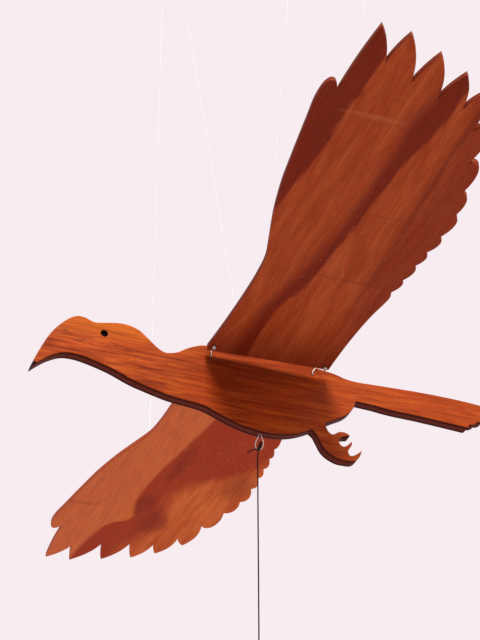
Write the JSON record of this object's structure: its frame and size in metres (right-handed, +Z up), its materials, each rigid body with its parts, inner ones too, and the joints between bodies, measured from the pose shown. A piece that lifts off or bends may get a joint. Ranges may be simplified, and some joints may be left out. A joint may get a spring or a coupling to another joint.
{
  "type": "hanging mobile",
  "caption": "Hanging wooden mobile of a bird in flight with hinged flapping wings, carried on clear lines from a crossbar, with a beaded pull cord below.",
  "frame": {"origin": "the inside top of the eye that the crossbar hangs by", "axes": "+X toward the bird's tail, -X toward its beak, +Y toward its right wing, +Z up; the crossbar lies along Y"},
  "size_m": [0.3662, 0.757, 0.9483],
  "materials": {
    "body_wood": "satin varnished orange-brown wood, grain along the body",
    "wing_wood": "satin varnished red-brown veneer with darker bands along the feathers",
    "bar_wood": "satin varnished dowel",
    "bead_wood": "satin varnished turned bead",
    "clear_line": "clear nylon line",
    "dark_thread": "dark twisted thread",
    "brass": "plain bright wire eye"
  },
  "bodies": {
    "hanger": {"hanging_eye": "brass", "crossbar": "bar_wood"},
    "bird": {"bird_body": "body_wood", "belly_loop": "clear_line", "cord_knot": "dark_thread", "cord_stray_end": "dark_thread", "pull_cord": "dark_thread", "pull_bead": "bead_wood", "bead_knot": "dark_thread", "hinge_tie_front": "clear_line", "tie_knot_left_front": "clear_line", "tie_knot_right_front": "clear_line", "hinge_tie_rear": "clear_line", "tie_knot_left_rear": "clear_line", "tie_knot_right_rear": "clear_line"},
    "wing_l": {"wing_left": "wing_wood"},
    "wing_r": {"wing_right": "wing_wood"},
    "sling_l": {"bar_loop_left": "clear_line", "apex_knot_left": "clear_line", "line_left_front": "clear_line", "line_knot_left_front": "clear_line", "line_left_rear": "clear_line", "line_knot_left_rear": "clear_line"},
    "sling_r": {"bar_loop_right": "clear_line", "apex_knot_right": "clear_line", "line_right_front": "clear_line", "line_knot_right_front": "clear_line", "line_right_rear": "clear_line", "line_knot_right_rear": "clear_line"}
  },
  "joints": [
    {"name": "bird_bob", "type": "slide", "parent": "hanger", "child": "bird", "axis": [0, 0, 1], "range_m": [-0.0362, 0.0302], "stiffness_N_per_m": 40},
    {"name": "wing_left_hinge", "type": "hinge", "parent": "bird", "child": "wing_l", "pos_m": [-0.0285, -0.01696, -0.67778], "axis": [-1, 0, 0], "range_deg": [-15, 18]},
    {"name": "wing_right_hinge", "type": "hinge", "parent": "bird", "child": "wing_r", "pos_m": [-0.0285, 0.01696, -0.67778], "axis": [1, 0, 0], "range_deg": [-15, 18]},
    {"name": "lines_left_lean", "type": "hinge", "parent": "wing_l", "child": "sling_l", "pos_m": [-0.0285, -0.13493, -0.67225], "axis": [1, 0, 0], "range_deg": [-15, 18]},
    {"name": "lines_right_lean", "type": "hinge", "parent": "wing_r", "child": "sling_r", "pos_m": [-0.0285, 0.13493, -0.67225], "axis": [-1, 0, 0], "range_deg": [-15, 18]}
  ],
  "couplings": [
    {"joint": "wing_left_hinge", "follows": "bird_bob", "rad_per_m": -8.6},
    {"joint": "wing_right_hinge", "follows": "bird_bob", "rad_per_m": -8.6},
    {"joint": "lines_left_lean", "follows": "bird_bob", "rad_per_m": -8.6},
    {"joint": "lines_right_lean", "follows": "bird_bob", "rad_per_m": -8.6}
  ]
}
